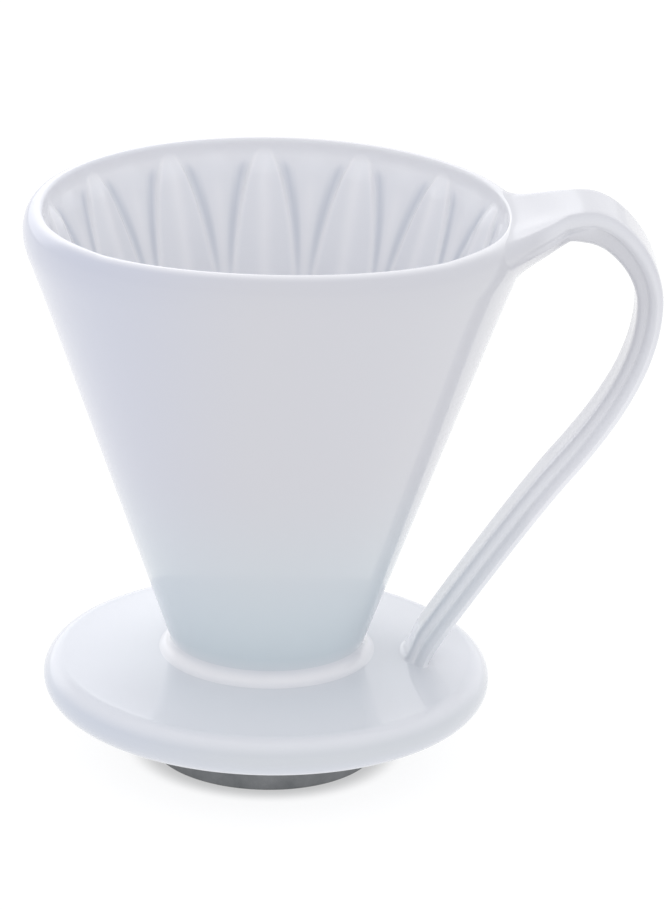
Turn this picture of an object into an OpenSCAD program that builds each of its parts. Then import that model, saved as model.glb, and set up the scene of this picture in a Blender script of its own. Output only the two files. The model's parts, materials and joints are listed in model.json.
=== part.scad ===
// Porcelain pour over dripper: a fluted cone on a wide base disc, with a strap handle.
// The origin is the centre of the locating ring's bottom face, +Z is up and +X points to the handle.

/* [Locating ring] */
// Outer diameter of the ring that drops into a server's mouth
ring_d = 54; // [50:0.5:58]
// Wall thickness of the ring
ring_wall = 4; // [3:0.5:5]
// Height of the ring below the base disc
ring_h = 14; // [10:0.5:16]
// How deep the ring is set into the underside of the base disc
ring_seat = 0.5; // [0.3:0.1:1]
// Gap for slip round the part of the ring that is set into the disc
ring_seat_gap = 0.3; // [0.2:0.1:0.5]

/* [Base disc] */
// Diameter of the base disc
disc_d = 105.5; // [96:0.5:112]
// Thickness of the base disc
disc_t = 9.5; // [8:0.5:11]
// Diameter of the outlet hole
outlet_d = 20; // [16:0.5:22]
// Height of the straight wall of the outlet hole
outlet_wall_h = 5.5; // [4:0.5:6.5]

/* [Cone] */
// Outer diameter of the cone where it stands on the disc
cone_foot_d = 42.4; // [40:0.2:46]
// Outer diameter of the rim at its widest
rim_d = 116; // [112:0.5:120]
// Height of the rim above the base disc
cone_h = 111; // [105:0.5:115]
// Inner diameter of the cone where it stands on the disc
cup_foot_d = 28; // [25:0.2:29]
// Inner diameter of the cone just below the lip
cup_top_d = 106.4; // [104:0.2:108]
// Radius of the slip fillet between cone and disc
neck_fillet_r = 3.3; // [2.5:0.1:4]

/* [Petals] */
// Number of front petals round the inside of the cone
petal_count = 14; // [12:1:16]
// Angle from the back, clockwise from above, of the first front petal's centre line
petal_turn = -3.4; // [-13:0.2:13]
// How far a front petal stands out of the wall at its centre
petal_proud = 1.8; // [1:0.1:2.2]
// How far a front petal's edge stands out of the wall
petal_edge = 0.8; // [0.4:0.1:1]
// How far a back petal stands out of the wall
back_petal_proud = 0.5; // [0.2:0.1:0.7]

/* [Handle] */
// Reach of the handle beyond the rim
handle_reach = 31.4; // [28:0.2:34]
// Height of the handle's crest above the rim
handle_rise = 3.1; // [2:0.1:4]
// Half the width of the strap at the crest
strap_half_w = 10; // [9:0.5:11]
// Distance from the axis to the outer side of the handle's foot
handle_foot_x = 37.3; // [36:0.1:38]
// How far the slip under the handle's foot spreads past it
foot_slip_spread = 1.2; // [0.8:0.1:1.5]
// Height of the slip under the handle's foot
foot_slip_h = 2; // [1.5:0.5:2.5]
// Thickness of the slip between the handle's root and the cone
root_slip_t = 0.8; // [0.6:0.1:1]

/* [Hidden] */
$fn = 160;

glaze = [0.93, 0.94, 0.97];
biscuit = [0.45, 0.46, 0.47];

disc_top = ring_h + disc_t;
rim_r = rim_d / 2;
rim_z = disc_top + cone_h;

// The lip: the cone's side turns over an outer curve to the crest, then down an inner curve into the cup.
lip_start_drop = 10;
lip_crest_r = rim_r - 4;
lip_inner_drop = 4;
cone_slope = (rim_r - cone_foot_d / 2) / (cone_h - 7);
cup_top_z = rim_z - 3;
cup_slope = (cup_top_d - cup_foot_d) / 2 / (cup_top_z - disc_top);

// The petals: front ones widen with the root of their depth below the tips, back ones fill the gaps.
petal_pitch = 360 / petal_count;
petal_tip_z = rim_z - 3.6;
front_spread = 1.85;
back_spread = 2.2;
petal_samples = 10;
petal_rings = 20;

function bezier(p, t) =
    pow(1 - t, 3) * p[0] + 3 * pow(1 - t, 2) * t * p[1] + 3 * (1 - t) * t * t * p[2] + pow(t, 3) * p[3];
function bezier_slope(p, t) =
    3 * pow(1 - t, 2) * (p[1] - p[0]) + 6 * (1 - t) * t * (p[2] - p[1]) + 3 * t * t * (p[3] - p[2]);
function ease(x) = let (t = max(0, min(1, x))) t * t * (3 - 2 * t);

function cone_r(z) = cone_foot_d / 2 + (z - disc_top) * cone_slope;
function cup_r(z) = cup_foot_d / 2 + (z - disc_top) * cup_slope;

// Outline of the cone's outside, from the disc up to the lip's crest
lip_outer = let (z = rim_z - lip_start_drop, lean = [cone_slope, 1] / norm([cone_slope, 1])) [
    [cone_r(z), z],
    [cone_r(z), z] + 6.6 * lean,
    [lip_crest_r + 3.83, rim_z],
    [lip_crest_r, rim_z],
];
lip_inner = let (z = rim_z - lip_inner_drop, lean = [cup_slope, 1] / norm([cup_slope, 1])) [
    [lip_crest_r, rim_z],
    [lip_crest_r - 1.1, rim_z],
    [cup_r(z), z] + 2 * lean,
    [cup_r(z), z],
];
lip_steps = 12;

// The handle: the path of the strap's outer face, then its sizes along the path.
// A station is a segment's number plus the fraction of that segment.
handle_path = let (
    root = [rim_r - 4, rim_z - 1.8],
    crest = [rim_r + 13.5, rim_z + handle_rise],
    side = [rim_r + handle_reach, rim_z - 19.7],
    bend = [rim_r + 12.2, rim_z - 62.5],
    foot = [handle_foot_x, disc_top]
) [
    [root - [8, 0.4], root - [5, 0.3], root - [3, 0.2], root],
    [root, root + [5.5, 0.3], crest - [7, 0], crest],
    [crest, crest + [8.7, 0], side + [0, 10.7], side],
    [side, side - [0, 12.8], bend + [13, 16.5], bend],
    [bend, bend - [7.2, 9], foot + [7.2, 11.5], foot],
    [foot, foot - [1, 1.6], foot - [2, 3.2], foot - [3, 4.8]],
];
segment_steps = [4, 12, 12, 12, 12, 2];
strap_w_at = [
    [0, 32], [0.5, 26.5], [1, 20.6], [1.25, 17.2], [1.5, 13.8], [1.75, 11.2], [2, strap_half_w + 0.3],
    [2.3, strap_half_w - 0.6], [3, strap_half_w - 1], [4, strap_half_w - 1.5], [6, strap_half_w - 2.4],
];
depth_at = [
    [0, 22], [1, 15.5], [1.2, 12.4], [1.4, 10.6], [1.7, 9.6], [2, 9.3], [2.4, 7.9], [2.8, 6.3], [3.5, 5.5],
    [4, 6], [5, 5.7], [6, 5.7],
];
strap_t_at = [[0, 4], [1.5, 3.8], [2.2, 3.5], [3, 2.8], [6, 2.6]];
rib_inset_at = [[0, 20], [1, 9.2], [1.25, 6.2], [1.5, 3.6], [1.75, 2.2], [2, 1.8], [6, 1.8]];

function stations() = concat(
    [for (seg = [0:5], k = [0:segment_steps[seg] - 1]) seg + k / segment_steps[seg]], [6 - 1e-6]);

// Half of the handle's cross-section as [across, inwards], a wide strap over a narrower rib
function half_section(s, spread) = let (
    w = lookup(s, strap_w_at) + spread,
    depth = lookup(s, depth_at) + spread,
    strap_t = lookup(s, strap_t_at),
    rib_w = w - lookup(s, rib_inset_at),
    round_r = 0.9
) [
    [w - 3 * round_r, -spread],
    [w - round_r, 0.12 - spread],
    [w, round_r - spread],
    [w, strap_t - round_r],
    [w - round_r / 2, strap_t - round_r / 4],
    [rib_w - 0.5, strap_t + 0.4],
    [rib_w - 0.3, depth - 1.4],
    [rib_w - 1, depth - 0.4],
    [rib_w - 2.4, depth],
];

function handle_ring(s, spread) = let (
    path = handle_path[floor(s)],
    p = bezier(path, s - floor(s)),
    along = bezier_slope(path, s - floor(s)),
    inward = [along[1], -along[0]] / norm(along),
    half = half_section(s, spread),
    n = len(half)
) [
    for (k = [0:2 * n - 1]) let (q = k < n ? half[k] : [-half[2 * n - 1 - k][0], half[2 * n - 1 - k][1]])
        [p[0] + inward[0] * q[1], q[0], p[1] + inward[1] * q[1]]
];

// A closed skin over equal rings of points
module skin(rings) {
    n = len(rings[0]);
    last = len(rings) - 1;
    sides = [
        for (i = [0:last - 1], j = [0:n - 1]) let (a = i * n + j, b = i * n + (j + 1) % n)
            each [[a, b, b + n], [a, b + n, a + n]]
    ];
    caps = [[for (j = [n - 1:-1:0]) j], [for (j = [0:n - 1]) last * n + j]];
    polyhedron([for (ring = rings) each ring], concat(sides, caps), convexity = 6);
}

// The whole swept handle, with both ends buried in the parts that it joins
module handle_sweep(spread = 0) {
    skin([for (s = stations()) handle_ring(s, spread)]);
}

// Everything inside the cone's outer surface, grown by a thickness
module cone_envelope(grow = 0) {
    outline = concat(
        [[0, disc_top], [cone_r(disc_top) + grow, disc_top]],
        [for (k = [0:lip_steps]) bezier(lip_outer, k / lip_steps) + [grow * (1 - k / lip_steps), grow * k / lip_steps]],
        [[0, rim_z + grow]]
    );
    rotate_extrude() polygon(outline);
}

function front_half_angle(d) = min(0.96 * petal_pitch / 2, front_spread * sqrt(max(d, 0)));
function back_half_angle(d) = min(petal_pitch / 2, back_spread * sqrt(max(d, 0)));

// How far the petals stand out of the cup's wall at an angle from the back and a height
function petal_relief(a, z) = let (
    d = petal_tip_z - z,
    f = abs((a + 720 + petal_pitch / 2) % petal_pitch - petal_pitch / 2),
    e = front_half_angle(d),
    b = petal_pitch / 2 - f,
    eb = back_half_angle(d),
    front = f < e ? petal_edge + (petal_proud - petal_edge) * (1 - pow(f / e, 2)) : 0,
    back = b < eb ? back_petal_proud * (1 - pow(b / eb, 2)) : 0,
    shrink = 0.35 + 0.65 * ease((z - disc_top) / 60)
) ease(d / 12) * shrink * max(front, back);

function petal_ring(z) = [
    for (k = [0:petal_count * petal_samples - 1])
        let (a = k * petal_pitch / petal_samples, r = cup_r(z) - petal_relief(a, z))
            [r * sin(a + petal_turn), r * cos(a + petal_turn), z]
];

module petal_cavity() {
    start_z = disc_top - 1;
    skin([
        for (k = [0:petal_rings])
            petal_ring(start_z + (petal_tip_z - start_z) * (1 - pow(1 - k / petal_rings, 1.6)))
    ]);
}

// The cavity inside the lip, a hair wider than the top of the petals' cavity, which it overlaps
module lip_cavity() {
    overlap_z = petal_tip_z - 0.7;
    clear = 0.06;
    rotate_extrude() polygon(concat(
        [[0, rim_z + 1], [lip_crest_r, rim_z + 1]],
        [for (k = [0:lip_steps]) bezier(lip_inner, k / lip_steps) + [clear, 0]],
        [[cup_r(overlap_z) + clear, overlap_z], [0, overlap_z]]
    ));
}

module cone_body() {
    color(glaze)
    difference() {
        cone_envelope();
        lip_cavity();
        petal_cavity();
    }
}

// Ring of slip that fills the corner between the leaning cone and the disc
module neck_slip() {
    lean = atan(cone_slope);
    mid_z = disc_top + neck_fillet_r;
    mid_r = cone_r(mid_z) + neck_fillet_r / cos(lean);
    turn = 90 + lean;
    arc = [
        for (k = [0:8]) let (a = 270 - turn * k / 8)
            [mid_r + neck_fillet_r * cos(a), mid_z + neck_fillet_r * sin(a)]
    ];
    color(glaze)
    rotate_extrude() polygon(concat([[cone_r(disc_top), disc_top]], arc));
}

module base_disc() {
    edge_r = disc_t / 2;
    color(glaze)
    difference() {
        union() {
            translate([0, 0, ring_h]) cylinder(h = disc_t, r = disc_d / 2 - edge_r);
            translate([0, 0, ring_h + edge_r])
                rotate_extrude() translate([disc_d / 2 - edge_r, 0]) intersection() {
                    circle(r = edge_r, $fn = 64);
                    translate([0, -edge_r]) square([edge_r, disc_t]);
                }
        }
        translate([0, 0, ring_h - 1]) cylinder(h = disc_t + 2, d = outlet_d);
        difference() {
            translate([0, 0, ring_h - 1]) cylinder(h = ring_seat + 1, d = ring_d);
            translate([0, 0, ring_h - 2]) cylinder(h = ring_seat + 3, r = ring_d / 2 - ring_wall);
        }
        translate([0, 0, ring_h + outlet_wall_h])
            cylinder(h = disc_t - outlet_wall_h, d1 = outlet_d, d2 = cup_foot_d - 0.6);
    }
}

module locating_ring() {
    chamfer = 0.8;
    inner_r = ring_d / 2 - ring_wall;
    color(biscuit)
    difference() {
        union() {
            cylinder(h = ring_h, d = ring_d);
            cylinder(h = ring_h + ring_seat, d = ring_d - 2 * ring_seat_gap);
        }
        translate([0, 0, -1]) cylinder(h = ring_h + ring_seat + 2, r = inner_r);
        translate([0, 0, -0.01]) cylinder(h = chamfer, r1 = inner_r + chamfer, r2 = inner_r);
    }
}

// Halfspace above a height, wide enough for the handle
module above(z) {
    translate([0, -60, z]) cube([120, 120, 160]);
}

module handle() {
    color(glaze)
    difference() {
        intersection() {
            handle_sweep();
            above(disc_top + foot_slip_h);
        }
        cone_envelope(root_slip_t);
    }
}

module handle_root_slip() {
    color(glaze)
    difference() {
        intersection() {
            handle_sweep();
            cone_envelope(root_slip_t);
            above(disc_top + cone_h / 2);
        }
        cone_envelope();
    }
}

module handle_foot_slip() {
    color(glaze)
    intersection() {
        handle_sweep(foot_slip_spread);
        translate([0, -20, disc_top]) cube([60, 40, foot_slip_h]);
    }
}

cone_body();
neck_slip();
base_disc();
locating_ring();
handle();
handle_root_slip();
handle_foot_slip();
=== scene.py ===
import json
import math

import bmesh
import bpy
import numpy as np
from mathutils import Matrix, Vector


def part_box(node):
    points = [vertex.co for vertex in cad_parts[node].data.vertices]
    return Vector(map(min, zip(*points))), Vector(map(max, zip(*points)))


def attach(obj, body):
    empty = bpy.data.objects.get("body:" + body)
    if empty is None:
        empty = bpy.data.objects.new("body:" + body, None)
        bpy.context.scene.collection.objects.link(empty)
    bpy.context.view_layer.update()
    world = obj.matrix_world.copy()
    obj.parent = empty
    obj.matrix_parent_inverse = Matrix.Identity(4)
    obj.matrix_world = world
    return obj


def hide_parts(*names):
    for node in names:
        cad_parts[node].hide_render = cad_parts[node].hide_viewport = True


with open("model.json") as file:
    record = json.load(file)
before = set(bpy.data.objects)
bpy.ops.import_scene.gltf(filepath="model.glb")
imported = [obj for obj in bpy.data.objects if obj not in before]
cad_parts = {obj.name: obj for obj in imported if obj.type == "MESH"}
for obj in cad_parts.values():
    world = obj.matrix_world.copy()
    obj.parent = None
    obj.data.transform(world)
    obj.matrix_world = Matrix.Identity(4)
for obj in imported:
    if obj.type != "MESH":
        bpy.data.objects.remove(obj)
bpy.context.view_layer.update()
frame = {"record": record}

# The dripper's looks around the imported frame: one finely built glazed piece for each CAD node.
# Shapes are worked out in millimetres and scaled when a mesh is made.

MM = 0.001

# ---------------------------------------------------------------- sizes read from the frame


def box_mm(node):
    """Low and high corners of a CAD node's box."""
    low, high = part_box(node)
    return np.array(low) / MM, np.array(high) / MM


def mount_sizes(name):
    """The sizes that the frame's record gives for a mount."""
    return next(m for m in frame["record"]["mounts"] if m["name"] == name)["dims"]


CONE_HIGH = box_mm("cone_body")[1]
DISC_LOW, DISC_HIGH = box_mm("base_disc")
HANDLE_HIGH = box_mm("handle")[1]

RIM_R, RIM_Z = CONE_HIGH[0], CONE_HIGH[2]
DISC_R, DISC_TOP, DISC_BOTTOM = DISC_HIGH[1], DISC_HIGH[2], DISC_LOW[2]
RING_R = box_mm("locating_ring")[1][1]
NECK_TOP = box_mm("neck_slip")[1][2]
OUTLET_R = mount_sizes("outlet_hole")["r_mm"]
OUTLET_WALL = mount_sizes("outlet_hole")["length_mm"]

# ---------------------------------------------------------------- shared maths


def ease(x):
    """A smooth step from 0 at x = 0 to 1 at x = 1."""
    t = np.clip(x, 0.0, 1.0)
    return t * t * (3 - 2 * t)


def bell(distance, width):
    """A smooth bump of height 1, which is down to about a third at its width."""
    return np.exp(-((distance / width) ** 2))


def unit(v):
    """Vectors scaled to a length of 1."""
    return v / np.linalg.norm(v, axis=-1, keepdims=True)


def bezier_point(p, t):
    """The point at a fraction of a cubic curve with four control points."""
    return (1 - t) ** 3 * p[0] + 3 * (1 - t) ** 2 * t * p[1] + 3 * (1 - t) * t**2 * p[2] + t**3 * p[3]


def bezier(points, count):
    """Points along a cubic curve through four control points, both ends included."""
    return bezier_point(np.array(points, float), np.linspace(0, 1, count + 1)[:, None])


def hermite_weights(t):
    """Shares of the start, the way out of it, the end and the way into it, at a fraction of a cubic curve."""
    return 2 * t**3 - 3 * t**2 + 1, t**3 - 2 * t**2 + t, 3 * t**2 - 2 * t**3, t**3 - t**2


def hermite(start, start_way, end, end_way, count):
    """Rows of points that leave the start curve one way and reach the end curve the other way."""
    rows = []
    for t in np.arange(count + 1) / count:
        a, b, c, d = hermite_weights(t)
        rows.append(a * start + b * start_way + c * end + d * end_way)
    return rows


def arc(centre, radius, start, end, count):
    """Points of an arc in degrees, both ends included."""
    a = np.radians(np.linspace(start, end, count + 1))
    return np.stack([centre[0] + radius * np.cos(a), centre[1] + radius * np.sin(a)], 1)


def line(start, end, count):
    """Points of a straight run without its end point."""
    t = np.arange(count)[:, None] / count
    return np.array(start, float) * (1 - t) + np.array(end, float) * t


def closed_spline(points, steps):
    """A smooth closed curve through the points, with steps samples for each of them."""
    p = np.asarray(points, float)
    before, after, beyond = np.roll(p, 1, 0), np.roll(p, -1, 0), np.roll(p, -2, 0)
    slope = after - before
    bend = 2 * before - 5 * p + 4 * after - beyond
    twist = 3 * p - before - 3 * after + beyond
    samples = [0.5 * (2 * p + slope * t + bend * t**2 + twist * t**3) for t in np.arange(steps) / steps]
    return np.stack(samples, 1).reshape(-1, p.shape[1])


# ---------------------------------------------------------------- making a piece


def grid_faces(rows, columns, close_rows):
    """Quads over a grid whose columns close on themselves, and whose rows may."""
    last = rows if close_rows else rows - 1
    i, j = np.meshgrid(np.arange(last), np.arange(columns), indexing="ij")
    a = i * columns + j
    b = i * columns + (j + 1) % columns
    c = ((i + 1) % rows) * columns + (j + 1) % columns
    d = ((i + 1) % rows) * columns + j
    return np.stack([a, b, c, d], -1).reshape(-1, 4).tolist()


SHARP_ANGLE = math.radians(70)


def piece(name, vertices, faces, material, node, shine_shade_values=0.5, clear=0.0):
    """A finished piece that stands for its CAD node.

    The first values paint highlights below 0.5 and shade above it; the second paint the colour paler towards
    1.
    """
    mesh = bpy.data.meshes.new(name)
    mesh.from_pydata((np.asarray(vertices) * MM).tolist(), [], faces)
    work = bmesh.new()
    work.from_mesh(mesh)
    bmesh.ops.recalc_face_normals(work, faces=work.faces)
    work.to_mesh(mesh)
    work.free()
    for polygon in mesh.polygons:
        polygon.use_smooth = True
    mesh.set_sharp_from_angle(angle=SHARP_ANGLE)
    for label, values in (("painted_shine_and_shade", shine_shade_values), ("clear", clear)):
        attribute = mesh.attributes.new(label, "FLOAT", "POINT")
        attribute.data.foreach_set("value", (values + np.zeros(len(vertices))).astype(np.float32))
    mesh.materials.append(material)
    obj = bpy.data.objects.new(name, mesh)
    bpy.context.scene.collection.objects.link(obj)
    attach(obj, "root")
    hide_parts(node)


def revolved(outline, columns):
    """Vertices and faces of a closed (radius, height) outline turned about Z."""
    outline = np.asarray(outline)
    a = np.arange(columns) * 2 * math.pi / columns
    r, z = outline[:, 0:1], outline[:, 1:2]
    grid = np.stack([r * np.cos(a), r * np.sin(a), z + 0 * a], -1)
    return grid.reshape(-1, 3), grid_faces(len(outline), columns, True)


# ---------------------------------------------------------------- materials


def shader(name):
    """A new material with its node tree and its Principled shader."""
    material = bpy.data.materials.new(name)
    material.use_nodes = True
    tree = material.node_tree
    return material, tree, tree.nodes["Principled BSDF"]


def add_node(tree, kind, **values):
    """A new node; a value goes to the input of its name, or else to the node's own setting."""
    node = tree.nodes.new(kind)
    for key, value in values.items():
        if key in node.inputs:
            node.inputs[key].default_value = value
        else:
            setattr(node, key, value)
    return node


def set_inputs(node, values):
    """Give a node's inputs their values."""
    for name, value in values.items():
        node.inputs[name].default_value = value


def split_axes(tree, vector):
    """The X, Y and Z of a vector."""
    split = add_node(tree, "ShaderNodeSeparateXYZ")
    tree.links.new(vector, split.inputs["Vector"])
    return split.outputs["X"], split.outputs["Y"], split.outputs["Z"]


def ranged(tree, source, start, end, first=0.0, last=1.0, smooth=True):
    """The source's value carried from start and end to first and last, and held beyond them."""
    node = add_node(tree, "ShaderNodeMapRange", interpolation_type="SMOOTHSTEP" if smooth else "LINEAR")
    set_inputs(node, {"From Min": start, "From Max": end, "To Min": first, "To Max": last})
    tree.links.new(source, node.inputs["Value"])
    return node.outputs["Result"]


def combined(tree, operation, one, other):
    """Two values added or multiplied."""
    node = add_node(tree, "ShaderNodeMath", operation=operation)
    tree.links.new(one, node.inputs[0])
    tree.links.new(other, node.inputs[1])
    return node.outputs["Value"]


def mixed(tree, share, one, other):
    """A colour that turns from one into the other as share goes from 0 to 1."""
    node = add_node(tree, "ShaderNodeMixRGB")
    tree.links.new(share, node.inputs["Fac"])
    for socket, colour in (("Color1", one), ("Color2", other)):
        if isinstance(colour, tuple):
            node.inputs[socket].default_value = colour
        else:
            tree.links.new(colour, node.inputs[socket])
    return node.outputs["Color"]


def noise(tree, place, scale, detail, roughness=0.5):
    """Noise in the object's own space."""
    node = add_node(tree, "ShaderNodeTexNoise", Scale=scale, Detail=detail, Roughness=roughness)
    tree.links.new(place.outputs["Object"], node.inputs["Vector"])
    return node.outputs["Fac"]


def bumped(tree, height, strength, distance):
    """A bump node that takes its height from the source."""
    node = add_node(tree, "ShaderNodeBump", Strength=strength, Distance=distance)
    tree.links.new(height, node.inputs["Height"])
    return node


def body_tone_and_painted_tint(tree, place, x):
    """Broad drift of tone over the body, with a painted lavender tint of the light on the side away from the
    handle.
    """
    tone = mixed(tree, noise(tree, place, 9.0, 2.0), (0.600, 0.600, 0.645, 1), (0.612, 0.617, 0.643, 1))
    # painted light: a lavender tint on the side away from the handle
    far = ranged(tree, x, 0.0, -0.045)
    return mixed(tree, far, tone, (0.565, 0.585, 0.675, 1))


def painted_blue_by_neck(tree, colour, z):
    """Painted blue reflection, growing down the body towards the neck and cut back on the disc below it."""
    run = ranged(tree, z, (DISC_TOP + 62) * MM, (DISC_TOP + 4) * MM, 0, 0.9)
    shed = ranged(tree, z, (DISC_TOP - 0.5) * MM, (DISC_TOP + 6) * MM, 0.3, 1, smooth=False)
    return mixed(tree, combined(tree, "MULTIPLY", run, shed), colour, (0.605, 0.682, 0.722, 1))


def paint_shine_and_shade(tree, colour):
    """Paints the colour paler for painted light and painted highlights on ridges, and bluer and darker for
    painted shade in the hollows.
    """
    depth = add_node(tree, "ShaderNodeAttribute", attribute_name="painted_shine_and_shade").outputs["Fac"]
    clear = add_node(tree, "ShaderNodeAttribute", attribute_name="clear").outputs["Fac"]
    # painted highlight below 0.5 and painted shade above it; the pale copy is painted light
    highlight_share = ranged(tree, depth, 0.5, 0.0, smooth=False)
    shade_share = ranged(tree, depth, 0.5, 1.0, smooth=False)
    colour = mixed(tree, clear, colour, (0.795, 0.803, 0.838, 1))
    colour = mixed(tree, highlight_share, colour, (0.86, 0.86, 0.885, 1))
    return mixed(tree, shade_share, colour, (0.62, 0.645, 0.705, 1))


def dipped_skin(tree, place):
    """Faint waves of hand-dipped glaze, and a finer skin on top of them."""
    wave = bumped(tree, noise(tree, place, 55.0, 1.0, 0.4), 0.05, 0.0004)
    fine = bumped(tree, noise(tree, place, 420.0, 2.0), 0.02, 0.0001)
    tree.links.new(wave.outputs["Normal"], fine.inputs["Normal"])
    return fine.outputs["Normal"]


def glaze_material():
    """Transparent glossy glaze over cool white porcelain, with a painted blue reflection low on the body."""
    material, tree, principled = shader("glazed_porcelain")
    set_inputs(principled, {"IOR": 1.5, "Specular IOR Level": 0.2})
    set_inputs(principled, {"Coat Weight": 0.9, "Coat Roughness": 0.03, "Coat IOR": 1.52})
    place = add_node(tree, "ShaderNodeTexCoord")
    x, _, z = split_axes(tree, place.outputs["Object"])
    colour = painted_blue_by_neck(tree, body_tone_and_painted_tint(tree, place, x), z)
    tree.links.new(paint_shine_and_shade(tree, colour), principled.inputs["Base Color"])
    # the body under the glaze is slightly uneven in gloss
    gloss = ranged(tree, noise(tree, place, 45.0, 3.0, 0.55), 0.0, 1.0, 0.29, 0.36, smooth=False)
    tree.links.new(gloss, principled.inputs["Roughness"])
    skin = dipped_skin(tree, place)
    tree.links.new(skin, principled.inputs["Normal"])
    tree.links.new(skin, principled.inputs["Coat Normal"])
    return material


def ring_shade_grey_material():
    """Matte unglazed foot, speckled by the clay, in a dark grey that is painted shade from the disc above it.
    """
    material, tree, principled = shader("bare_porcelain")
    principled.inputs["IOR"].default_value = 1.45
    place = add_node(tree, "ShaderNodeTexCoord")
    mottle = noise(tree, place, 120.0, 6.0, 0.65)
    # the dark greys are painted shade standing in for the shadow under the disc
    tone = add_node(tree, "ShaderNodeValToRGB")
    dark, light = tone.color_ramp.elements
    dark.position = 0.35
    dark.color = (0.145, 0.152, 0.158, 1)
    light.position = 0.68
    light.color = (0.220, 0.226, 0.230, 1)
    tree.links.new(mottle, tone.inputs["Fac"])
    tree.links.new(tone.outputs["Color"], principled.inputs["Base Color"])
    rough = ranged(tree, mottle, 0.0, 1.0, 0.62, 0.82, smooth=False)
    tree.links.new(rough, principled.inputs["Roughness"])
    grain = bumped(tree, noise(tree, place, 1400.0, 2.0), 0.35, 0.00012)
    tree.links.new(grain.outputs["Normal"], principled.inputs["Normal"])
    return material


def floor_material():
    """Pale sheet of a light table, softly lit from below."""
    material, tree, principled = shader("pale_floor")
    set_inputs(principled, {"Roughness": 0.9, "Specular IOR Level": 0.1, "Emission Color": (1, 1, 1, 1)})
    place = add_node(tree, "ShaderNodeTexCoord")
    tone = mixed(tree, noise(tree, place, 6.0, 4.0), (0.20, 0.20, 0.20, 1), (0.22, 0.22, 0.22, 1))
    tree.links.new(tone, principled.inputs["Base Color"])
    # painted contact shadow: the sheet glows less in the middle, round the ring's foot
    length = add_node(tree, "ShaderNodeVectorMath", operation="LENGTH")
    tree.links.new(place.outputs["Object"], length.inputs[0])
    emission_with_painted_shadow = ranged(tree, length.outputs["Value"], 0.027, 0.034, 0.48, 0.84)
    tree.links.new(emission_with_painted_shadow, principled.inputs["Emission Strength"])
    return material


# ---------------------------------------------------------------- the cone

# Radii of the outer side at the disc's top, of the lip's crest, and of the cup at its foot and near the rim
CONE_FOOT_R = 21.2
CREST_R = RIM_R - 4.0
CUP_FOOT_R = 14.0
CUP_TOP_R = 53.2
# Heights where the straight side would reach the rim's radius, where the lip starts to roll outside,
# where the cup has its top radius, and where the lip ends inside
SIDE_TOP_Z = RIM_Z - 7
LIP_Z = RIM_Z - 10.0
CUP_TOP_Z = RIM_Z - 3.0
CUP_WALL_Z = RIM_Z - 4
CONE_SLOPE = (RIM_R - CONE_FOOT_R) / (SIDE_TOP_Z - DISC_TOP)
CUP_SLOPE = (CUP_TOP_R - CUP_FOOT_R) / (CUP_TOP_Z - DISC_TOP)


def cone_r(z):
    """Radius of the cone's straight outer side."""
    return CONE_FOOT_R + (z - DISC_TOP) * CONE_SLOPE


def cup_r(z):
    """Radius of the cup's plain wall, which the petals stand out of."""
    return CUP_FOOT_R + (z - DISC_TOP) * CUP_SLOPE


def lip_outer(count):
    """From the cone's side, over the rolled lip, to its crest."""
    side_carry, crest_carry = 6.6, 3.55
    start = np.array([cone_r(LIP_Z), LIP_Z])
    lean = unit(np.array([CONE_SLOPE, 1.0]))
    return bezier([start, start + side_carry * lean, (CREST_R + crest_carry, RIM_Z), (CREST_R, RIM_Z)], count)


def lip_inner(count):
    """From the crest down to the cup's straight wall."""
    crest_carry, wall_carry = 1.1, 2
    end = np.array([cup_r(CUP_WALL_Z), CUP_WALL_Z])
    lean = unit(np.array([CUP_SLOPE, 1.0]))
    return bezier([(CREST_R, RIM_Z), (CREST_R - crest_carry, RIM_Z), end + wall_carry * lean, end], count)


# The front petals, whose turn about Z is in degrees, and back petals between them with half a pitch from
# one centre line to the next
PETALS = 14
PETAL_TURN = -3.4
HALF_PITCH = 180 / PETALS
# How far a front petal stands proud on its ridge and at its edge, and a back petal on its ridge
PETAL_PROUD = 2.0
PETAL_EDGE = 0.75
BACK_PROUD = 0.7
# Half the width of the rounded step at a front petal's edge
ARRIS_MM = 0.40
# Where the tips are, and how petals widen below them: degrees to each side per square root of a millimetre
TIP_Z = RIM_Z - 2.2
FRONT_SPREAD = 1.85
BACK_SPREAD = 2.6
# How much higher the rim stands at the front, and how far it sags at the sides
FRONT_LIFT = 1.55
SIDE_SAG = 0.9


def front_half(depth):
    """Degrees from a front petal's centre line to its edge."""
    return np.minimum(0.95 * HALF_PITCH, FRONT_SPREAD * np.sqrt(np.maximum(depth, 1e-9)))


def ridge(u):
    """Height across a petal, 1 on its soft centre ridge and 0 at its edge."""
    soft = 0.22
    return 1 - (np.sqrt(np.minimum(u, 1) ** 2 + soft**2) - soft) / (math.sqrt(1 + soft**2) - soft)


def petal_relief(f, z):
    """How far the petals stand out of the wall, f degrees from a front petal's centre line."""
    depth = TIP_Z - z
    e = front_half(depth)
    arris = np.degrees(ARRIS_MM / cup_r(z))
    front = PETAL_EDGE + (PETAL_PROUD - PETAL_EDGE) * ridge(f / e)
    back_e = np.minimum(1.05 * HALF_PITCH, BACK_SPREAD * np.sqrt(np.maximum(depth, 1e-9)))
    back = BACK_PROUD * ridge((HALF_PITCH - f) / back_e)
    on_front = ease((e + arris - f) / (2 * arris))
    size = ease(depth / 6) * (0.35 + 0.65 * ease((z - DISC_TOP) / 60))
    return size * (front * on_front + back * (1 - on_front))


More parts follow.
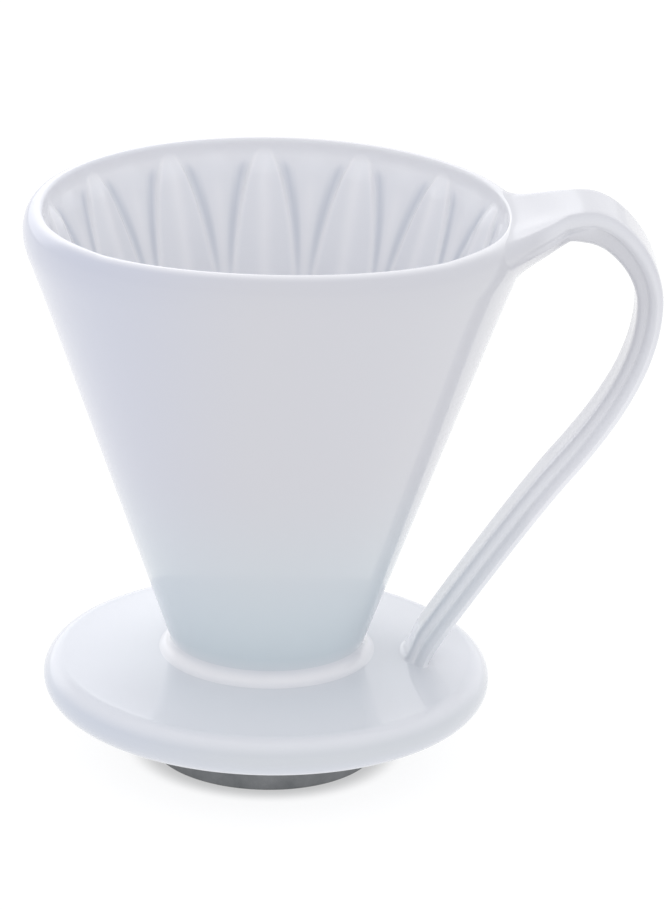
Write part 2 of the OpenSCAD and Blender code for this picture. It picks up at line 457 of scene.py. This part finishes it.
def painted_shine_and_shade(f, z):
    """Painted shine and shade over the petals: under 0.5 for painted highlights on ridges and arrises, over
    it for painted shade in the hollows.
    """
    depth = TIP_Z - z
    mm = math.radians(1) * cup_r(z)
    e = float(front_half(depth))
    # painted highlights on the arris and ridges, painted shade in the crease beside the arris
    arris = bell((f - e) * mm + 0.25, 0.5) * ease(depth / 1.5)
    front_rib = bell(f * mm, 1.7) * ease((depth - 1.5) / 6)
    back_rib = bell((HALF_PITCH - f) * mm, 1.5) * ease((depth - 3) / 8) * (f > e)
    hollow = bell((f - e) * mm - 1.5, 1.3) * ease(depth / 6)
    highlight_share = np.clip(arris * 0.9 + front_rib * 0.9 + back_rib * 0.7, 0, 1)
    return np.clip(0.5 - 0.5 * highlight_share + 0.5 * hollow * (1 - highlight_share), 0, 1)


def petal_columns(z, even):
    """Angles of the grid's columns over one half petal, gathered along the front petal's edge."""
    depth = TIP_Z - z
    arris = np.degrees(ARRIS_MM / cup_r(min(z, TIP_Z)))
    e = max(float(front_half(np.array(depth))), 2.0)
    e = min(e, HALF_PITCH - 2.0 * arris)
    band = 1.3 * arris
    inner = np.linspace(0, e - band, 9)[:-1]
    edge = np.linspace(e - band, e + band, 7)[:-1]
    outer = np.linspace(e + band, HALF_PITCH, 7)
    gathered = np.concatenate([inner, edge, outer])
    return gathered * (1 - even) + np.linspace(0, HALF_PITCH, len(gathered)) * even


def row_angles(z, even):
    """For a row's columns, degrees from the nearest front petal's centre line, and degrees round the cup."""
    f = petal_columns(z, even)
    both = np.concatenate([-f[:0:-1], f[:-1]])
    around = np.concatenate([k * 2 * HALF_PITCH + both for k in range(PETALS)])
    return np.tile(np.abs(both), PETALS), around


def hand_levelled(vertices):
    """The rim is not quite level: it stands higher at the front and sags a little towards either side."""
    front_end, sag_end = 45, 115
    x, y, z = np.asarray(vertices).T
    away = np.degrees(np.abs(np.arctan2(x, -y)))
    lift = np.where(away < front_end, FRONT_LIFT * np.cos(np.radians(90 / front_end * away)), 0)
    swing = np.radians((away - front_end) * 180 / (sag_end - front_end))
    sag = np.where((away > front_end) & (away < sag_end), SIDE_SAG * np.sin(swing) ** 2, 0)
    # both fade out down the wall, and outwards along the handle
    share = ease((z - (RIM_Z - 24)) / 22) * ease((CREST_R + 18 - np.hypot(x, y)) / 10)
    return np.stack([x, y, z + (lift - sag) * share], 1)


def cone_outline():
    """The cone's closed outline, and the rows where the lip's inside and the cup's wall start."""
    side = line((cone_r(DISC_TOP), DISC_TOP), lip_outer(1)[0], 12)
    outside = np.concatenate([side, lip_outer(18)])
    lip = lip_inner(12)[1:-1]
    # the rows lie closer together near the petals' tips
    z = CUP_WALL_Z - (CUP_WALL_Z - DISC_TOP) * np.linspace(0, 1, 112) ** 1.4
    wall = np.stack([cup_r(z), z], 1)
    return np.concatenate([outside, lip, wall]), len(outside), len(outside) + len(lip)


def over_lip(vertices):
    """1 where the lip turns into the cup, and 0 away from there."""
    radius = np.hypot(vertices[:, 0], vertices[:, 1])
    return ease((vertices[:, 2] - (RIM_Z - 7)) / 5) * ease((CREST_R + 2.6 - radius) / 2)


def cone_piece(glaze):
    """The cone, with its rolled lip outside and its petals inside."""
    outline, first_inner, first_wall = cone_outline()
    rows, petal_shine_shade = [], []
    for i, (r, z) in enumerate(outline):
        within = i >= first_inner
        # the columns are even outside, and gather along the petals' edges on the way over the lip
        over = (i - first_inner + 1) / (first_wall - first_inner + 1)
        f, a = row_angles(z, 1 - min(max(over, 0.0), 1.0))
        radius = r - petal_relief(f, z) if within else r + 0 * a
        turn = np.radians(a + PETAL_TURN)
        rows.append(np.stack([radius * np.sin(turn), radius * np.cos(turn), z + 0 * a], 1))
        petal_shine_shade.append(painted_shine_and_shade(f, z) if within and z < TIP_Z else 0.5 + 0 * a)
    vertices = np.concatenate(rows)
    faces = grid_faces(len(rows), len(rows[0]), True)
    # painted light: the colour is paler inside the cup and on the bottom row next to the neck
    row = np.arange(len(rows))
    clear = np.repeat(np.where(row == 0, 1, ease((row - first_inner) / 8)), len(rows[0]))
    # painted highlight where the lip turns into the cup
    shine_shade_values = np.concatenate(petal_shine_shade) * (1 - 0.7 * over_lip(vertices))
    vertices = hand_levelled(vertices)
    piece("cone_body_glazed", vertices, faces, glaze, "cone_body", shine_shade_values, clear)


# ---------------------------------------------------------------- disc, neck and ring

# The disc's top rises by this much from one radius to the other
DISC_RISE = 1.8
RISE_START_R = DISC_R - 5
RISE_END_R = 26.0


def disc_top(r):
    """Height of the disc's top, which rises from near its edge to the neck; inside the cup it is level."""
    slope = np.clip((RISE_START_R - r) / (RISE_START_R - RISE_END_R), 0, 1)
    return DISC_TOP + DISC_RISE * (0.7 * slope + 0.3 * ease(slope)) * ease((r - 15.5) / 3)


def neck_piece(glaze):
    """The hollow fillet of slip between the cone and the disc."""
    tuck = 0.3
    lean = math.atan(CONE_SLOPE)
    foot_z = float(disc_top(RISE_END_R))
    radius = (NECK_TOP - foot_z) / (1 + math.sin(lean)) + 0.6
    centre_z = foot_z + radius
    centre_r = cone_r(centre_z) + radius / math.cos(lean)
    curve = arc((centre_r, centre_z), radius, 270, 180 - math.degrees(lean), 28)
    start = (cone_r(DISC_TOP) - tuck, DISC_TOP)
    end = (curve[-1][0] - tuck, curve[-1][1])
    under = (curve[0][0], DISC_TOP)
    outline = np.concatenate([line(start, under, 4), line(under, curve[0], 3), curve, line(end, start, 4)])
    vertices, faces = revolved(outline, 256)
    # painted highlight low in the bend, and painted light over the whole fillet
    share = (vertices[:, 2] - foot_z) / radius
    shine_shade_values = 0.5 - 0.5 * bell(share - 0.3, 0.6)
    piece("neck_slip_glazed", vertices, faces, glaze, "neck_slip", shine_shade_values, 0.8)


def disc_piece(glaze):
    """The round disc with its full round edge, and the funnel and outlet hole in its middle."""
    edge = (DISC_TOP - DISC_BOTTOM) / 2
    flat_r = DISC_R - edge
    rounding, bevel = 0.6, 0.3
    funnel_z = DISC_BOTTOM + OUTLET_WALL
    top_r = np.linspace(flat_r - 0.5, CUP_FOOT_R, 60)
    outline = np.concatenate([
        arc((OUTLET_R + rounding, DISC_BOTTOM + rounding), rounding, 180, 270, 6),
        line((OUTLET_R + 2 * rounding, DISC_BOTTOM), (flat_r - 0.5, DISC_BOTTOM), 24),
        arc((flat_r, DISC_BOTTOM + edge), edge, -90, 90, 48),
        np.stack([top_r, disc_top(top_r)], 1),
        line((CUP_FOOT_R - bevel, DISC_TOP), (OUTLET_R + bevel, funnel_z + bevel), 8),
        line((OUTLET_R, funnel_z), (OUTLET_R, DISC_BOTTOM + 1.0), 6),
    ])
    vertices, faces = revolved(outline, 320)
    # painted shade at the lower edge, and painted light on the top and upper edge
    shine_shade_values = 0.5 + 0.5 * ease((DISC_BOTTOM + 5 - vertices[:, 2]) / 4)
    clear = 0.7 * ease((vertices[:, 2] - DISC_TOP + 3.5) / 3)
    piece("base_disc_glazed", vertices, faces, glaze, "base_disc", shine_shade_values, clear)


def ring_piece(shade_grey):
    """The unglazed ring under the disc, with both of its lower edges rounded."""
    wall, rounding = 4.0, 0.7
    inner = RING_R - wall
    run_end = rounding + 0.4
    outline = np.concatenate([
        line((RING_R, DISC_BOTTOM), (RING_R, run_end), 10),
        arc((RING_R - rounding, rounding), rounding, 0, -90, 8),
        arc((inner + rounding, rounding), rounding, 270, 180, 8),
        line((inner, run_end), (inner, DISC_BOTTOM), 10),
        [(inner, DISC_BOTTOM)],
    ])
    vertices, faces = revolved(outline, 256)
    piece("locating_ring_bare", vertices, faces, shade_grey, "locating_ring")


# ---------------------------------------------------------------- the handle

# The path, as (x, z), of the middle of the strap's outer face, in four cubic segments from root to foot
ROOT = np.array([RIM_R - 4, RIM_Z - 1.8])
CREST = np.array([RIM_R + 13.5, HANDLE_HIGH[2] - 0.05])
SIDE = np.array([HANDLE_HIGH[0] - 0.05, RIM_Z - 19.7])
BEND = np.array([RIM_R + 12.2, RIM_Z - 62.5])
FOOT = np.array([37.8, float(disc_top(37.8))])
HANDLE_PATH = [
    [ROOT, ROOT + (3, 2.5), CREST - (9, 0), CREST],
    [CREST, CREST + (8.7, 0), SIDE + (0, 10.7), SIDE],
    [SIDE, SIDE - (0, 12.8), BEND + (13, 16.5), BEND],
    [BEND, BEND - (7.2, 9), FOOT + (7.2, 11.5), FOOT],
]
# Sizes along the path by station, which is a segment's number plus the fraction of that segment: half the
# strap's width, the depth from strap to rib, the strap's own depth, and how much narrower the rib is
HALF_WIDTH_AT = ([0.6, 0.8, 1.0, 1.3, 2.0, 3.0, 4.0], [12.4, 10.9, 10.3, 9.5, 9.0, 8.6, 8.0])
DEPTH_AT = ([0.6, 0.8, 1.0, 1.2, 1.4, 1.8, 2.5, 3.0, 4.0], [6.2, 6.5, 7.8, 8.2, 7.8, 6.5, 5.5, 5.8, 5.7])
STRAP_AT = ([0.5, 1.2, 2.0, 3.0, 4.0], [3.8, 3.5, 2.8, 2.7, 2.6])
NOTCH_AT = ([0.6, 0.8, 1.0, 1.25, 1.5, 3.0, 4.0], [0.1, 0.15, 0.8, 1.7, 1.9, 1.9, 1.9])
# The handle is swept from the root's station to the foot's, and slip blends it in beyond them
ROOT_STATION = 0.8
FOOT_STATION = 3.88
END_STATION = 4.0
# How much painted light each point of half_section gets: most along the strap's edges
STRAP_EDGE = [0, 0, 0, 0.5, 1, 1, 1, 0.4, 0, 0, 0, 0]
SPLINE_STEPS = 6


def along(table, station):
    """A size at a station, smooth through the table's values."""
    knots, values = np.array(table[0]), np.array(table[1])
    slopes = np.gradient(values, knots)
    i = int(np.clip(np.searchsorted(knots, station) - 1, 0, len(knots) - 2))
    span = knots[i + 1] - knots[i]
    a, b, c, d = hermite_weights((station - knots[i]) / span)
    return a * values[i] + b * span * slopes[i] + c * values[i + 1] + d * span * slopes[i + 1]


def path_at(station):
    """Point and direction of travel on the strap's outer face, as (x, z) pairs."""
    segment = min(int(station), len(HANDLE_PATH) - 1)
    p = np.array(HANDLE_PATH[segment])
    t = station - segment
    travel = (1 - t) ** 2 * (p[1] - p[0]) + 2 * (1 - t) * t * (p[2] - p[1]) + t**2 * (p[3] - p[2])
    return bezier_point(p, t), unit(travel)


def half_section(station):
    """Half of the handle's cross-section as (across, inwards): a wide strap over a narrower rib."""
    w = along(HALF_WIDTH_AT, station)
    depth = along(DEPTH_AT, station)
    strap = along(STRAP_AT, station)
    rib = w - along(NOTCH_AT, station)
    return [
        (0, 0),
        (w * 0.45, 0),
        (w - 2.2, 0.04),
        (w - 0.75, 0.35),
        (w, 1.3),
        (w, strap - 1.0),
        (w - 0.8, strap - 0.05),
        (rib, strap + 0.75),
        (rib - 0.1, depth - 1.5),
        (rib - 0.9, depth - 0.45),
        (rib - 2.6, depth),
        (0, depth),
    ]


def whole(half):
    """A closed outline from one half and its mirror image."""
    return list(half) + [(-x, y) for x, y in half[-2:0:-1]]


def section_ring(station):
    """The handle's closed cross-section at a station, in space."""
    point, travel = path_at(station)
    inward = np.array([travel[1], -travel[0]])
    outline = closed_spline(whole(half_section(station)), SPLINE_STEPS)
    x = point[0] + inward[0] * outline[:, 1]
    z = point[1] + inward[1] * outline[:, 1]
    return np.stack([x, outline[:, 0], z], 1)


# Half of the root's footprint on the cone, point for point with the section: where it ends (round the rim,
# down from the crest), the way it arrives there (round, down) and how far that way carries
ROOT_PRINT = [
    ((0, 0), (0, -1), 1.0),
    ((8, 0), (0.1, -1), 1.0),
    ((15.5, 0), (0.35, -1), 1.0),
    ((21.5, 0.9), (0.8, -0.5), 0.9),
    ((25.5, 2.6), (1, -0.15), 0.8),
    ((27, 4.4), (1, 0), 0.8),
    ((26, 6.2), (1, 0.1), 0.8),
    ((23.5, 8.2), (1, 0.3), 0.8),
    ((20, 10.2), (0.8, 0.55), 0.8),
    ((16, 12.4), (0.55, 0.8), 0.85),
    ((11.5, 14.6), (0.3, 0.95), 0.9),
    ((0, 16.8), (0, 1), 0.9),
]
ROOT_MIDDLE = np.array([0, 8.0])
BED_DEPTH = 0.6
# The slip was wiped wide and a little low on the side nearer the front (y < 0) and kept narrow at the back.
# The keeps say how far the blend goes on in the strap's own direction on either side
ROOT_BACK_SPREAD = 0.8
FRONT_SLUMP = 0.8
FRONT_CARRY = 0.45
FRONT_KEEP = 0.2
BACK_KEEP = 1.5
# Rows of the root's blend, the one where the handle ends and its slip starts, and how far both lap over it
BLEND_ROWS = 144
ROOT_SPLIT = 102
LAP_ROWS = 5
TUCK = 0.06
# How far the foot's slip spreads over the disc, and how far it sinks in
FOOT_SPREAD = 1.6
FOOT_SINK = 0.03


def cone_surface():
    """The cone's outer side from the crest down, as distance along it, (radius, height) and its tangent."""
    lip = lip_outer(60)[::-1]
    side = line(lip[-1], (cone_r(DISC_TOP), DISC_TOP), 60)
    curve = np.concatenate([lip[:-1], side])
    steps = np.linalg.norm(np.diff(curve, axis=0), axis=1)
    distance = np.concatenate([[0], np.cumsum(steps)])
    return distance, curve, unit(np.gradient(curve, distance, axis=0))


def on_cone(outline, heading):
    """Points of (round, down) pairs on the cone's outer side, headings in its surface, and its normals."""
    distance, curve, tangent = cone_surface()
    down = outline[:, 1]
    r = np.interp(down, distance, curve[:, 0])
    z = np.interp(down, distance, curve[:, 1])
    tr = np.interp(down, distance, tangent[:, 0])
    tz = np.interp(down, distance, tangent[:, 1])
    c, s = np.cos(outline[:, 0] / RIM_R), np.sin(outline[:, 0] / RIM_R)
    points = np.stack([r * c, r * s, z], 1)
    normals = unit(np.stack([-tz * c, -tz * s, tr], 1))
    round_way = np.stack([-s, c, 0 * c], 1)
    down_way = np.stack([tr * c, tr * s, tz], 1)
    return points, unit(round_way * heading[:, 0:1] + down_way * heading[:, 1:2]), normals


def root_end():
    """The root's footprint in space: points, arrival headings and carry, then the rings that close it."""
    places = whole([p for p, way, carry in ROOT_PRINT])
    headings = whole([way for p, way, carry in ROOT_PRINT])
    carries = whole([(0, carry) for p, way, carry in ROOT_PRINT])
    spline = [closed_spline(v, SPLINE_STEPS) for v in (places, headings, carries)]
    away, down = spline[0].T
    slump = FRONT_SLUMP * ease((-away - 6) / 12) * (1 - ease((down - 5) / 9))
    outline = np.stack([np.where(away > 0, ROOT_BACK_SPREAD, 1) * away, down + slump], 1)
    points, ways, _ = on_cone(outline, spline[1])
    bed = []
    for size in (1.0, 0.75, 0.5, 0.25, 0.02):
        inner, _, normals = on_cone(ROOT_MIDDLE + (outline - ROOT_MIDDLE) * size, spline[1])
        bed.append(inner - normals * BED_DEPTH)
    carry = spline[2][:, 1] * (1 - (1 - FRONT_CARRY) * ease((-away - 4) / 10))
    return points, ways, carry[:, None], bed


def root_blend():
    """Rings from the strap into the rim's glaze, and the bed of rings that closes them below it."""
    start = section_ring(ROOT_STATION)
    end, ways, carry, bed = root_end()
    reach = np.linalg.norm(end - start, axis=1, keepdims=True)
    back = ease(start[:, 1:2] / (2 * start[:, 1].max()) + 0.5)
    leave = np.minimum(reach, 16) * (FRONT_KEEP + (BACK_KEEP - FRONT_KEEP) * back)
    onward = unit(section_ring(ROOT_STATION - 0.01) - section_ring(ROOT_STATION + 0.01))
    return hermite(start, onward * leave, end, ways * reach * carry, BLEND_ROWS), bed


def foot_blend():
    """Rings from the strap's lower end out over the disc."""
    carry = 0.8
    start = section_ring(FOOT_STATION)
    flat = section_ring(END_STATION)
    outward = unit((flat - flat.mean(0)) * (1, 1, 0))
    end = flat + outward * FOOT_SPREAD
    end[:, 2] = disc_top(np.hypot(end[:, 0], end[:, 1])) - FOOT_SINK
    reach = np.linalg.norm(end - start, axis=1, keepdims=True)
    x, z = path_at(FOOT_STATION)[1]
    return hermite(start, np.array([x, 0.0, z]) * reach * carry, end, outward * reach * carry, 16)


def tucked(ring):
    """A ring drawn in under the surface of the piece next to it, so that no hairline shows between them."""
    return ring + unit(ring.mean(0) - ring) * TUCK


def handle_clear(vertices, ring_count):
    """Painted light: paler along the strap's edges than on its top or rib, and paler lower down."""
    edge = whole([(0, share) for share in STRAP_EDGE])
    sides = np.clip(closed_spline(edge, SPLINE_STEPS)[:, 1], 0, 1)
    edges = np.concatenate([np.tile(sides, ring_count), [0, 0]])
    lower = 0.8 * ease((RIM_Z - 6 - vertices[:, 2]) / 60)
    return 0.5 * edges * ease((vertices[:, 0] - RIM_R) / 6) + lower


def tube_piece(name, rings, node, glaze):
    """A closed piece of the handle through its rings, with a point in the middle of each end."""
    n = len(rings[0])
    first, last = rings[0].mean(0), rings[-1].mean(0)
    vertices = np.concatenate(rings + [first[None], last[None]])
    base = len(rings) * n
    faces = grid_faces(len(rings), n, False)
    faces += [(base, (j + 1) % n, j) for j in range(n)]
    faces += [(base + 1, base - n + j, base - n + (j + 1) % n) for j in range(n)]
    clear = handle_clear(vertices, len(rings))
    piece(name, hand_levelled(vertices), faces, glaze, node, 0.5, clear)


def handle_pieces(glaze):
    """The swept handle, the blend of its root into the rim and the slip round its foot."""
    sweep = [section_ring(s) for s in np.linspace(ROOT_STATION, FOOT_STATION, 150)]
    blend, bed = root_blend()
    foot = foot_blend()
    upper = [tucked(blend[ROOT_SPLIT + LAP_ROWS])] + blend[ROOT_SPLIT::-1]
    tube_piece("handle_glazed", upper + sweep[1:] + [tucked(foot[2])], "handle", glaze)
    slip = [tucked(blend[ROOT_SPLIT - LAP_ROWS])] + blend[ROOT_SPLIT:]
    tube_piece("handle_root_slip_glazed", slip + bed, "handle_root_slip", glaze)
    tube_piece("handle_foot_slip_glazed", [tucked(sweep[-2])] + foot, "handle_foot_slip", glaze)


# ---------------------------------------------------------------- studio


def floor_sheet():
    """The sheet that the dripper stands on, which runs on past the camera's view."""
    half = 6.0
    corners = [(-half, -half, 0), (half, -half, 0), (half, half, 0), (-half, half, 0)]
    mesh = bpy.data.meshes.new("floor")
    mesh.from_pydata(corners, [], [(0, 1, 2, 3)])
    mesh.materials.append(floor_material())
    floor = bpy.data.objects.new("floor", mesh)
    bpy.context.scene.collection.objects.link(floor)


def room_light():
    """An even room with a wide, low window at the back, brighter in its left half."""
    world = bpy.data.worlds.new("studio")
    bpy.context.scene.world = world
    world.use_nodes = True
    tree = world.node_tree
    place = add_node(tree, "ShaderNodeTexCoord")
    x, y, z = split_axes(tree, place.outputs["Generated"])
    window = combined(tree, "MULTIPLY", ranged(tree, x, -0.03, 0.02, 0.68, 0.24), ranged(tree, y, 0.5, 0.75))
    sill = ranged(tree, z, 0.03, 0.10)
    head = ranged(tree, z, 0.42, 0.55, 1, 0)
    window = combined(tree, "MULTIPLY", combined(tree, "MULTIPLY", window, sill), head)
    room = ranged(tree, z, 0.0, 0.9, 0.98, 1.06)
    background = tree.nodes["Background"]
    background.inputs["Color"].default_value = (0.97, 0.975, 1.0, 1)
    tree.links.new(combined(tree, "ADD", room, window), background.inputs["Strength"])


def camera():
    """The viewing angle: from in front and above, turned and rolled a little, in metres and radians."""
    distance, height = 1.04527, 0.46865
    pitch, yaw, roll = 0.361, 0.014, 0.026
    view = Vector((math.sin(yaw) * math.cos(pitch), math.cos(yaw) * math.cos(pitch), -math.sin(pitch)))
    level = Vector((math.cos(yaw), -math.sin(yaw), 0))
    upright = level.cross(view)
    right = level * math.cos(roll) + upright * math.sin(roll)
    up = upright * math.cos(roll) - level * math.sin(roll)
    data = bpy.data.cameras.new("camera")
    data.lens = 189.4
    data.sensor_width = 36
    data.clip_end = 20
    cam = bpy.data.objects.new("camera", data)
    cam.matrix_world = Matrix((
        (right.x, up.x, -view.x, 0),
        (right.y, up.y, -view.y, -distance),
        (right.z, up.z, -view.z, height),
        (0, 0, 0, 1),
    ))
    bpy.context.scene.collection.objects.link(cam)
    bpy.context.scene.camera = cam


# ---------------------------------------------------------------- build

camera()
floor_sheet()
room_light()
GLAZE = glaze_material()
RING_SHADE_GREY = ring_shade_grey_material()
cone_piece(GLAZE)
neck_piece(GLAZE)
disc_piece(GLAZE)
ring_piece(RING_SHADE_GREY)
handle_pieces(GLAZE)

bpy.context.scene.view_settings.view_transform = "Standard"
